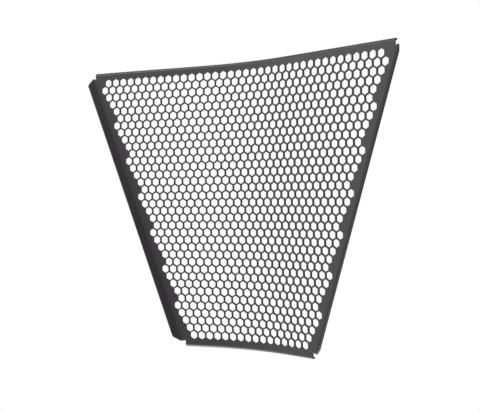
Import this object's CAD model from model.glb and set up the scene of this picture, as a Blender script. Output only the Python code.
"""Looks of a motorcycle radiator guard: one sheet of aluminium, punched, rolled, folded and powder coated.

The sheet is drawn the way it is made. A flat blank is triangulated once, and one mapping folds and rolls it.
Blank coordinates are p, along the sheet from its middle, and q, up the sheet, both in millimetres.
"""

import bpy
import numpy as np
from mathutils import Matrix, Vector
from mathutils.geometry import delaunay_2d_cdt


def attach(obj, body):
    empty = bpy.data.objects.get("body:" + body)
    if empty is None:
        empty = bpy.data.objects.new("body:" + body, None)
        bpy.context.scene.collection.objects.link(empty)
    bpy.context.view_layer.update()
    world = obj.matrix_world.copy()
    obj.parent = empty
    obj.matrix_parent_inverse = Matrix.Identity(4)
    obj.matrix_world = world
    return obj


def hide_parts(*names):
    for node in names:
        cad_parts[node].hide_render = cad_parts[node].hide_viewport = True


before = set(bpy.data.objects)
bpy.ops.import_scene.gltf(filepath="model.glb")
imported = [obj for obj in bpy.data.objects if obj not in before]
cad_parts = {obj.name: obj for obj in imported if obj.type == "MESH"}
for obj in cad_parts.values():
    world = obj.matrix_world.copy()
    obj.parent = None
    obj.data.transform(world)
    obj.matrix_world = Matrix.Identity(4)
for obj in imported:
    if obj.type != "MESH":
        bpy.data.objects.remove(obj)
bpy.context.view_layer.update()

# The guard: a sheet of aluminium, punched with the honeycomb, rolled, folded at all four edges and bolted to
# the radiator by three ears. It stands for the CAD sheet and shares its sizes, in millimetres and radians.
# It adds the eased rims of the outline and the holes, and the fillets in the corners of the holes.
MM = 0.001

# The sheet and its roll
THICK = 2.0
HALF = THICK / 2
ROLL_RADIUS = 230.0
WING = np.radians(12.0)
TOP_Z = 148.5
LEAN = np.radians(19.1)
FOLD_WIDTH = 356.4
RIM_EASE = 0.22

# The honeycomb
PITCH = 9.0
WEB = 1.4
TOP_LAND = 11.6
BOTTOM_LAND = 12.6
SIDE_LAND = 3.6
HOLE_FILLET = 0.8
FIRST_ROW_Z = TOP_Z - TOP_LAND

# The folds, the lips and the side flanges
FOLD_RADIUS = 1.0
FOLD_MID = FOLD_RADIUS + HALF
LIP_DEPTH = 3.2
LIP_CORNER = 0.6
SIDE_FOLD = np.radians(45.0)
SIDE_FLANGE = 8.6
UPPER_CUT = 5.4
LOWER_CUT = 7.4
FLANGE_CORNER = 2.5
FLANGE_ROOT = 0.4
TOP_SETBACK = 2.9
BOTTOM_SETBACK = 4.5
NOTCH_Z = TOP_Z - 6.0
RELIEF = 0.9
RELIEF_FLAT = 0.3

# The mounting ears: each is placed along the sheet from its middle, at the top (1) or the bottom (-1)
EAR_WIDTH = 14.0
EAR_REACH = 8.0
BOLT_HOLE_RADIUS = 3.25
TOP_EAR = 56.0
BOTTOM_EAR = 34.0
EARS = ((TOP_EAR, 1), (-TOP_EAR, 1), (BOTTOM_EAR, -1))
ORIGIN = np.array([0.0, -EAR_REACH, -TOP_Z])

# Where the bends lie on the blank, along the middle of the sheet, and the rows of points that round them
SIDE_TANGENT = FOLD_MID * np.tan(SIDE_FOLD / 2)
SIDE_BEND = FOLD_MID * SIDE_FOLD
LIP_START = TOP_Z - FOLD_RADIUS - THICK
LIP_ARC = FOLD_MID * np.pi / 2
LIP_END = LIP_START + LIP_ARC + LIP_DEPTH - FOLD_MID
SIDE_BEND_ROWS = SIDE_BEND * np.linspace(0, 1, 6)
LIP_BEND_ROWS = LIP_START + LIP_ARC * np.linspace(0, 1, 7)
POINT_STEP = 4.5


def fold_at(q):
    """Half width between the side folds at height q: W/2 - (z0 - q) tan(lean)."""
    return FOLD_WIDTH / 2 - (FIRST_ROW_Z - q) * np.tan(LEAN)


# The right side fold on the blank, by its directions, its foot at the lower notch and its length
ALONG = np.array([np.sin(LEAN), np.cos(LEAN)])
ACROSS = np.array([np.cos(LEAN), -np.sin(LEAN)])
FOLD_FOOT = np.array([fold_at(-NOTCH_Z), -NOTCH_Z]) - ACROSS * SIDE_TANGENT
FOLD_LENGTH = 2 * NOTCH_Z / np.cos(LEAN)

# Half the length of each lip
TOP_LIP_HALF = fold_at(NOTCH_Z) - TOP_SETBACK
BOTTOM_LIP_HALF = fold_at(-NOTCH_Z) - BOTTOM_SETBACK


def roll(p, depth):
    """Plan position [x, y] of a point of the sheet.

    The turn is a = clip(p / R, -W, W) and the straight rest is s = p - a R. The middle of the sheet is
    x = R sin a + s cos a, y = R (cos a - 1) - s sin a, and depth moves along the rear normal (sin a, cos a).
    """
    a = np.clip(p / ROLL_RADIUS, -WING, WING)
    s = p - a * ROLL_RADIUS
    x = ROLL_RADIUS * np.sin(a) + s * np.cos(a) + depth * np.sin(a)
    y = ROLL_RADIUS * (np.cos(a) - 1) - s * np.sin(a) + depth * np.cos(a)
    return x, y


def formed(pq, d):
    """Blank points (p, q), at d behind the middle of the sheet, folded and rolled, in metres.

    With w the way out from the start of the side bend, a flange turns forward by f = clip(w / r, 0, 45 deg)
    on the radius r + d, and the rest, w - f r, goes straight on. With |q| - q0 the way past the start of a
    lip, the lip turns back by g = clip((|q| - q0) / r, 0, 90 deg) on the radius r - d, and goes straight on.
    """
    p, q = pq[:, 0], pq[:, 1]
    w = (np.abs(p) - fold_at(q)) * np.cos(LEAN) + SIDE_TANGENT
    inside = np.maximum(w, 0)
    f = np.clip(inside / FOLD_MID, 0, SIDE_FOLD)
    rest = inside - f * FOLD_MID
    out = np.where(w > 0, (FOLD_MID + d) * np.sin(f) + rest * np.cos(f), w)
    flange_depth = (FOLD_MID + d) * np.cos(f) - rest * np.sin(f) - FOLD_MID

    on_lip = np.abs(q) > LIP_START
    g = np.clip((np.abs(q) - LIP_START) / FOLD_MID, 0, np.pi / 2)
    straight = np.maximum(np.abs(q) - LIP_START - LIP_ARC, 0)
    lip_z = np.sign(q) * (LIP_START + (FOLD_MID - d) * np.sin(g))
    lip_depth = FOLD_MID - (FOLD_MID - d) * np.cos(g) + straight

    moved = np.where(on_lip, 0, out - w)
    x, y = roll(p + np.sign(p) * moved * np.cos(LEAN), np.where(on_lip, lip_depth, flange_depth))
    z = np.where(on_lip, lip_z, q - moved * np.sin(LEAN))
    return (np.stack([x, y, z], -1) + ORIGIN) * MM


def arc(centre, radius, start, stop, count):
    """Points centre + radius (cos t, sin t), count of them, for t from start to stop in degrees."""
    t = np.radians(np.linspace(start, stop, count))
    return np.stack([centre[0] + radius * np.cos(t), centre[1] + radius * np.sin(t)], -1)


def refined(loop, step):
    """The closed loop with points added so that no side is longer than step."""
    ends = np.roll(loop, -1, 0)
    counts = np.maximum(np.ceil(np.linalg.norm(ends - loop, axis=1) / step).astype(int), 1)
    owner = np.repeat(np.arange(len(loop)), counts)
    first = np.repeat(np.cumsum(counts) - counts, counts)
    t = (np.arange(counts.sum()) - first) / counts[owner]
    return loop[owner] + (ends - loop)[owner] * t[:, None]


def flange_end(cut):
    """Points (w, s) of a side flange's sloped end: w leads out from the bend, s up along the fold.

    The slope runs from (root, 0) to (wide, cut) and meets the outer edge in an arc of radius c, whose centre
    is (wide - c, cut + c / tan(45 deg + slope / 2)).
    """
    wide = SIDE_FLANGE - SIDE_TANGENT
    slope = np.arctan(cut / (wide - FLANGE_ROOT))
    rise = FLANGE_CORNER / np.tan(np.pi / 4 + slope / 2)
    corner = arc((wide - FLANGE_CORNER, cut + rise), FLANGE_CORNER, np.degrees(slope) - 90, 0, count=8)
    return np.concatenate([[[FLANGE_ROOT, 0]], corner])


def blank_outline():
    """Closed outline of the flat blank, anticlockwise, with its lips, side flanges and corner notches.

    A point of a side flange is foot + w across + s along, with w the way out from the start of the bend and s
    the way up from the lower notch.
    """
    bend = np.stack([SIDE_BEND_ROWS, np.zeros_like(SIDE_BEND_ROWS)], -1)
    low_end = np.concatenate([bend, flange_end(LOWER_CUT) + [SIDE_BEND, 0]])
    top_end = np.concatenate([bend, flange_end(UPPER_CUT) + [SIDE_BEND, 0]])[::-1]
    ws = np.concatenate([low_end, top_end * [1, -1] + [0, FOLD_LENGTH]])
    flange = FOLD_FOOT + ACROSS * ws[:, :1] + ALONG * ws[:, 1:]
    low_lip = np.stack([np.full_like(LIP_BEND_ROWS, BOTTOM_LIP_HALF), -LIP_BEND_ROWS[::-1]], -1)
    top_lip = np.stack([np.full_like(LIP_BEND_ROWS, TOP_LIP_HALF), LIP_BEND_ROWS], -1)
    right = np.concatenate([
        arc((BOTTOM_LIP_HALF - LIP_CORNER, LIP_CORNER - LIP_END), LIP_CORNER, -90, 0, count=4),
        low_lip,
        arc((BOTTOM_LIP_HALF + RELIEF, -NOTCH_Z), RELIEF, 180, 0, count=9),
        [[fold_at(-NOTCH_Z) - SIDE_TANGENT - RELIEF_FLAT, -NOTCH_Z]],
        flange,
        arc((TOP_LIP_HALF + RELIEF, NOTCH_Z), RELIEF, 0, -180, count=9),
        top_lip,
        arc((TOP_LIP_HALF - LIP_CORNER, LIP_END - LIP_CORNER), LIP_CORNER, 0, 90, count=4)])
    left = right[::-1] * [-1, 1]
    return refined(np.concatenate([right, left]), POINT_STEP)


def bend_points():
    """Points inside the blank that round its folds, in rows along both lips and both side bends."""
    last_row_inset = 0.5
    rows = np.append(LIP_BEND_ROWS, LIP_END - last_row_inset)
    points = []
    for end, half_width in ((1, TOP_LIP_HALF), (-1, BOTTOM_LIP_HALF)):
        p = np.linspace(-half_width, half_width, int(2 * half_width / POINT_STEP) + 1)[1:-1]
        points.append(np.stack(np.meshgrid(p, end * rows), -1).reshape(-1, 2))
    s = np.linspace(0, FOLD_LENGTH, int(FOLD_LENGTH / POINT_STEP) + 1)[1:-1]
    ws = np.stack(np.meshgrid(SIDE_BEND_ROWS, s), -1).reshape(-1, 2)
    flange = FOLD_FOOT + ACROSS * ws[:, :1] + ALONG * ws[:, 1:]
    return np.concatenate(points + [flange, flange * [-1, 1]])


def hole_centres():
    """Centres of the honeycomb.

    Row j stands at q = z0 - j P sin 60 and holds n holes, a pitch P apart. n is the largest odd number that
    fits between the side lands in the even rows, and the largest even one in the odd rows, so that rows nest.
    """
    row_rounding = 0.01
    hole_rounding = 0.001
    row_step = PITCH * np.sin(np.pi / 3)
    row_count = int((2 * TOP_Z - TOP_LAND - BOTTOM_LAND) / row_step + row_rounding) + 1
    j = np.arange(row_count)
    q = FIRST_ROW_Z - j * row_step
    field = 2 * (fold_at(q) - SIDE_LAND) / PITCH
    odd = 2 * np.floor((field - 1) / 2 + hole_rounding) + 1
    even = 2 * np.floor(field / 2 + hole_rounding)
    n = np.where(j % 2 == 0, odd, even).astype(int)
    row = np.repeat(j, n)
    i = np.arange(n.sum()) - np.repeat(np.cumsum(n) - n, n)
    return np.stack([(i - (n[row] - 1) / 2) * PITCH, q[row]], -1)


def hole_loops():
    """Clockwise loops of the six-sided holes, with a corner at every 90 - 60 k degrees.

    Each corner is rounded by a fillet of three points, whose centre is at radius - fillet / cos 30 deg.
    """
    radius = (PITCH - WEB) / np.sqrt(3)
    corner = np.radians(90 - 60 * np.arange(6))
    turn = np.radians([30, 0, -30])
    fillet_centre_radius = radius - HOLE_FILLET / np.cos(np.pi / 6)
    centre = fillet_centre_radius * np.stack([np.cos(corner), np.sin(corner)], -1)
    angle = corner[:, None] + turn
    hole = centre[:, None] + HOLE_FILLET * np.stack([np.cos(angle), np.sin(angle)], -1)
    return list(hole_centres()[:, None] + hole.reshape(-1, 2))


def outward(loop):
    """Unit normals of a closed loop that has its material on the left.

    Each is the mean of the right-hand normals of the two sides that meet at the point.
    """
    ahead = np.roll(loop, -1, 0) - loop
    ahead /= np.linalg.norm(ahead, axis=1)[:, None]
    mean = ahead + np.roll(ahead, 1, 0)
    mean /= np.linalg.norm(mean, axis=1)[:, None]
    return np.stack([mean[:, 1], -mean[:, 0]], -1)


def face_triangles(points, sides, loop_of):
    """Anticlockwise triangles of the flat sheet between its loops, by a constrained Delaunay triangulation.

    A triangle whose three corners are on one and the same hole's loop fills that hole, and is left out.
    """
    inside_outline, merge_distance = 1, 1e-5
    vectors = [Vector(point) for point in points]
    found = delaunay_2d_cdt(vectors, sides.tolist(), [], inside_outline, merge_distance)
    source = np.array([sources[0] for sources in found[3]])
    tris = source[np.array(found[2])]
    loop = loop_of[tris]
    in_hole = (loop[:, 0] == loop[:, 1]) & (loop[:, 1] == loop[:, 2]) & (loop[:, 0] > 0)
    tris = tris[~in_hole]
    a, b, c = points[tris[:, 0]], points[tris[:, 1]], points[tris[:, 2]]
    area = (b - a)[:, 0] * (c - a)[:, 1] - (b - a)[:, 1] * (c - a)[:, 0]
    tris[area < 0] = tris[area < 0][:, ::-1]
    return tris


def direction(a, b):
    """Unit vectors from the points a to the points b."""
    v = b - a
    return v / np.linalg.norm(v, axis=1)[:, None]


def sheet_shell(loops, inner, form, half, eased_behind):
    """Vertices, normals and triangles of a formed sheet: its two faces, and a wall round every loop.

    The front rim of each loop is eased by a chamfer whose normals run from the face's to the wall's, so that
    it shades as a round. The first eased_behind loops have the same at the back. The normals are measured by
    a small step through the form.
    """
    step = 0.01
    sizes = np.array([len(loop) for loop in loops])
    first = np.repeat(np.cumsum(sizes) - sizes, sizes)
    here = np.arange(sizes.sum())
    after = first + (here - first + 1) % np.repeat(sizes, sizes)
    loop_of = np.repeat(np.arange(len(loops)), sizes)
    edge = np.concatenate(loops)
    out = np.concatenate([outward(loop) for loop in loops])
    front_points = np.concatenate([edge - RIM_EASE * out, inner])
    all_loop_of = np.concatenate([loop_of, np.full(len(inner), -1)])
    tris = face_triangles(front_points, np.stack([here, after], -1), all_loop_of)

    eased = loop_of < eased_behind
    back_points = np.concatenate([edge - RIM_EASE * eased[:, None] * out, inner])
    front = form(front_points, -half)
    wall_front = form(edge, RIM_EASE - half)
    wall_back = form(edge, np.where(eased, half - RIM_EASE, half))
    back = form(back_points, half)
    face_normals = direction(form(front_points, -step), form(front_points, step))
    wall_normals = direction(form(edge - step * out, 0), form(edge + step * out, 0))
    verts = np.concatenate([front, wall_front, wall_back, back])
    normals = np.concatenate([-face_normals, wall_normals, wall_normals, face_normals])

    at_wall_front = len(front)
    at_wall_back = at_wall_front + len(edge)
    at_back = at_wall_back + len(edge)

    def band(upper, lower):
        """Four-sided faces between two rings of vertices that start at the numbers upper and lower."""
        return np.stack([upper + here, lower + here, lower + after, upper + after], -1)

    quads = np.concatenate([
        band(0, at_wall_front),
        band(at_wall_front, at_wall_back),
        band(at_wall_back, at_back)[eased]])
    walls = np.concatenate([quads[:, [0, 1, 2]], quads[:, [0, 2, 3]]])
    return verts, normals, np.concatenate([tris, at_back + tris[:, ::-1], walls])


def ear_shell(offset, end):
    """One mounting ear: a flat tongue that starts inside the lip and ends in a round about its bolt hole.

    Its outline has p across and q back, and its root is parallel to the lip's edge. It is drawn a trace
    thinner than the sheet, so that it shares no face with the lip.
    """
    sink = 0.6
    trace = 0.01
    middle_x, middle_y = roll(offset, 0)
    a = np.clip(offset / ROLL_RADIUS, -WING, WING)
    wide = EAR_WIDTH / 2
    p = np.array([-wide, wide])
    root = middle_y + LIP_DEPTH * np.cos(a) - (p - LIP_DEPTH * np.sin(a)) * np.tan(a) - sink
    outline = np.concatenate([np.stack([p, root], -1), arc((0, EAR_REACH), wide, 0, 180, count=33)])
    bolt_hole = arc((0, EAR_REACH), BOLT_HOLE_RADIUS, 360, 0, count=41)[:-1]

    def form(pq, d):
        """Ear points (p, q) level with the top or bottom edge: x = x0 + p, y = q, z = end (H - t/2 - d)."""
        z = np.broadcast_to(end * (TOP_Z - HALF - d), len(pq))
        return (np.stack([middle_x + pq[:, 0], pq[:, 1], z], -1) + ORIGIN) * MM

    no_points = np.zeros((0, 2))
    verts, normals, tris = sheet_shell([outline, bolt_hole], no_points, form, HALF - trace, eased_behind=2)
    return verts, normals, tris[:, ::-1] if end < 0 else tris


blank_loops = [blank_outline()] + hole_loops()
shells = [sheet_shell(blank_loops, bend_points(), formed, HALF, eased_behind=1)]
shells += [ear_shell(offset, end) for offset, end in EARS]
starts = np.cumsum([0] + [len(verts) for verts, normals, tris in shells])
mesh = bpy.data.meshes.new("guard_sheet")
mesh.from_pydata(
    np.concatenate([verts for verts, normals, tris in shells]), [],
    np.concatenate([start + tris for start, (verts, normals, tris) in zip(starts, shells)]))
mesh.normals_split_custom_set_from_vertices(np.concatenate([normals for verts, normals, tris in shells]))
sheet = bpy.data.objects.new("guard_sheet", mesh)
bpy.context.scene.collection.objects.link(sheet)

# Its powder coat: a satin black skin with the fine grain of cured powder and slow changes of sheen.
# The group keeps the grain and the sheen together, and the surface itself is set beside it.
COAT_BLACK = (0.0185, 0.0152, 0.0195, 1)
MM_PER_METRE = 1000
group = bpy.data.node_groups.new("Powder grain", "ShaderNodeTree")
for name, value, low, high in (("Grain size", 0.35, 0.02, 5), ("Grain height", 0.25, 0, 1),
                               ("Roughness", 0.45, 0, 1), ("Sheen drift", 0.06, 0, 0.5)):
    socket = group.interface.new_socket(name, in_out="INPUT", socket_type="NodeSocketFloat")
    socket.default_value, socket.min_value, socket.max_value = value, low, high
group.interface.new_socket("Roughness", in_out="OUTPUT", socket_type="NodeSocketFloat")
group.interface.new_socket("Normal", in_out="OUTPUT", socket_type="NodeSocketVector")
add_node, link = group.nodes.new, group.links.new
enter, leave = add_node("NodeGroupInput"), add_node("NodeGroupOutput")
coords = add_node("ShaderNodeTexCoord")

# The grain, as a bump: the noise's scale is per metre, and the grain size is in millimetres
grain_scale = add_node("ShaderNodeMath")
grain_scale.operation = "DIVIDE"
grain_scale.inputs[0].default_value = MM_PER_METRE
link(enter.outputs["Grain size"], grain_scale.inputs[1])
grain = add_node("ShaderNodeTexNoise")
grain.inputs["Detail"].default_value = 2
grain.inputs["Roughness"].default_value = 0.6
link(coords.outputs["Object"], grain.inputs["Vector"])
link(grain_scale.outputs[0], grain.inputs["Scale"])
bump = add_node("ShaderNodeBump")
bump.inputs["Distance"].default_value = 0.02 * MM
link(enter.outputs["Grain height"], bump.inputs["Strength"])
link(grain.outputs["Fac"], bump.inputs["Height"])
link(bump.outputs["Normal"], leave.inputs["Normal"])

# The sheen: roughness + drift (noise - 0.5)
drift = add_node("ShaderNodeTexNoise")
drift.inputs["Scale"].default_value = 30
drift.inputs["Detail"].default_value = 3
link(coords.outputs["Object"], drift.inputs["Vector"])
centred = add_node("ShaderNodeMath")
centred.operation = "SUBTRACT"
centred.inputs[1].default_value = 0.5
link(drift.outputs["Fac"], centred.inputs[0])
sheen = add_node("ShaderNodeMath")
sheen.operation = "MULTIPLY_ADD"
link(centred.outputs[0], sheen.inputs[0])
link(enter.outputs["Sheen drift"], sheen.inputs[1])
link(enter.outputs["Roughness"], sheen.inputs[2])
link(sheen.outputs[0], leave.inputs["Roughness"])

coat = bpy.data.materials.new("powder_coat")
coat.use_nodes = True
tree = coat.node_tree
surface = tree.nodes["Principled BSDF"]
surface.inputs["Base Color"].default_value = COAT_BLACK
surface.inputs["Specular IOR Level"].default_value = 0.5
skin = tree.nodes.new("ShaderNodeGroup")
skin.node_tree = group
tree.links.new(skin.outputs["Roughness"], surface.inputs["Roughness"])
tree.links.new(skin.outputs["Normal"], surface.inputs["Normal"])
mesh.materials.append(coat)

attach(sheet, "root")
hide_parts("guard_panel")

# Surroundings: pure white behind the guard, and a grey room in its reflections and on its surfaces.
# The room is brightest low and high, so that the rounded lips catch a pale line along both edges.
ROOM_LIGHT = 0.45
WHITE = (1, 1, 1, 1)
world = bpy.data.worlds.new("room")
bpy.context.scene.world = world
world.use_nodes = True
room = world.node_tree
lit = room.nodes["Background"]
lit.inputs["Color"].default_value = WHITE
lit.inputs["Strength"].default_value = ROOM_LIGHT
seen = room.nodes.new("ShaderNodeBackground")
seen.inputs["Color"].default_value = WHITE
ray = room.nodes.new("ShaderNodeLightPath")
mix = room.nodes.new("ShaderNodeMixShader")
room.links.new(ray.outputs["Is Camera Ray"], mix.inputs["Fac"])
room.links.new(lit.outputs[0], mix.inputs[1])
room.links.new(seen.outputs[0], mix.inputs[2])
room.links.new(mix.outputs[0], room.nodes["World Output"].inputs["Surface"])

CENTRE = Vector((0, 0, -TOP_Z * MM))


def softbox(name, azimuth, elevation, distance, size, power):
    """An area lamp aimed at the guard. Azimuth 0 is straight ahead of it and positive to the viewer's right.

    It hangs at centre + distance (sin a cos e, -cos a cos e, sin e), in metres, and its power is in watts.
    """
    a, e = np.radians([azimuth, elevation])
    way = Vector((np.sin(a) * np.cos(e), -np.cos(a) * np.cos(e), np.sin(e)))
    light = bpy.data.lights.new(name, "AREA")
    light.shape = "RECTANGLE"
    light.size, light.size_y = size
    light.energy = power
    lamp = bpy.data.objects.new(name, light)
    bpy.context.scene.collection.objects.link(lamp)
    lamp.location = CENTRE + way * distance
    lamp.rotation_mode = "QUATERNION"
    lamp.rotation_quaternion = way.to_track_quat("Z", "Y")


softbox("left_box", azimuth=-62, elevation=8, distance=1.6, size=(1.1, 1.5), power=9.5)
softbox("front_high", azimuth=-20, elevation=40, distance=1.6, size=(1.2, 1.0), power=14)
softbox("top_box", azimuth=-10, elevation=72, distance=1.5, size=(1.6, 1.2), power=11)
softbox("floor_bounce", azimuth=-10, elevation=-75, distance=1.5, size=(1.6, 1.2), power=52)

# Camera: it looks at the road side from the viewer's right, with a lens a little longer than normal.
# Its place and turn were found by laying the honeycomb of the solid over the photographed one.
PLACE = (0.44198, -0.72702, -0.12668)
RIGHT = (0.84628, 0.532238, -0.023099)
UP = (0.00601, 0.033818, 0.99941)
BACK = (0.532705, -0.845919, 0.02542)
lens = bpy.data.cameras.new("camera")
lens.lens = 61.69
lens.sensor_width = 36
lens.clip_start = 0.05
camera = bpy.data.objects.new("camera", lens)
bpy.context.scene.collection.objects.link(camera)
camera.matrix_world = Matrix((RIGHT + (0,), UP + (0,), BACK + (0,), PLACE + (1,))).transposed()
bpy.context.scene.camera = camera
bpy.context.scene.view_settings.view_transform = "Standard"
